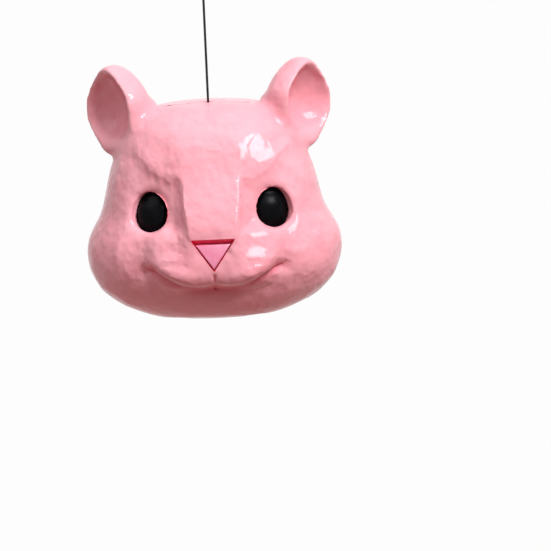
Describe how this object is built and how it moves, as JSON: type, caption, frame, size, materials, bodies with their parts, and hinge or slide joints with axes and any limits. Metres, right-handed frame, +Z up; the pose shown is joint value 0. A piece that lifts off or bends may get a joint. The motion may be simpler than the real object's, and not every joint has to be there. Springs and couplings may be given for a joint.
{
  "type": "squirrel head feeder",
  "caption": "Hollow glossy pink squirrel head that hangs by a thin wire from a hook; an animal puts its own head in at the open neck to eat from a cup inside the chin.",
  "frame": {"origin": "the seat inside the upper bend of the hook, from which the feeder hangs", "axes": "+Z up along the hanging wire, -Y the way the face looks, +X the viewer's right when facing it"},
  "size_m": [0.1604, 0.149, 0.2836],
  "materials": {
    "pink_enamel": "glossy enamel over a chiselled surface",
    "nose_pink": "glossy enamel",
    "eye_black": "polished",
    "cap_plastic": "moulded",
    "cup_plastic": "moulded",
    "zinc_steel": "zinc plated",
    "black_wire": "black coated wire",
    "ferrule_metal": "swaged"
  },
  "bodies": {
    "hook": {"s_hook": "zinc_steel"},
    "wire": {"hanging_wire": "black_wire", "loop_ferrule": "ferrule_metal", "stop_ball": "zinc_steel"},
    "washer": {"hanger_washer": "zinc_steel"},
    "head": {"face_shell": "pink_enamel", "back_shell": "pink_enamel", "left_ear": "pink_enamel", "right_ear": "pink_enamel", "left_eye": "eye_black", "right_eye": "eye_black", "left_eye_cap": "cap_plastic", "right_eye_cap": "cap_plastic", "nose": "nose_pink", "nose_push_nut": "zinc_steel", "shell_screws": "zinc_steel", "ear_screws": "zinc_steel"},
    "cup": {"food_cup": "cup_plastic"}
  },
  "joints": [
    {"name": "wire_swing", "type": "hinge", "parent": "hook", "child": "wire", "pos_m": [0, 0, -0.0495], "axis": [0, 1, 0], "range_deg": [-45, 45]},
    {"name": "head_tilt", "type": "hinge", "parent": "wire", "child": "washer", "pos_m": [0, 0, -0.16085], "axis": [1, 0, 0], "range_deg": [-6, 6]},
    {"name": "head_spin", "type": "hinge", "parent": "washer", "child": "head", "pos_m": [0, 0, -0.15625], "axis": [0, 0, 1], "continuous": true},
    {"name": "cup_lift", "type": "slide", "parent": "head", "child": "cup", "axis": [0, 0, 1], "range_m": [0, 0.014]}
  ]
}
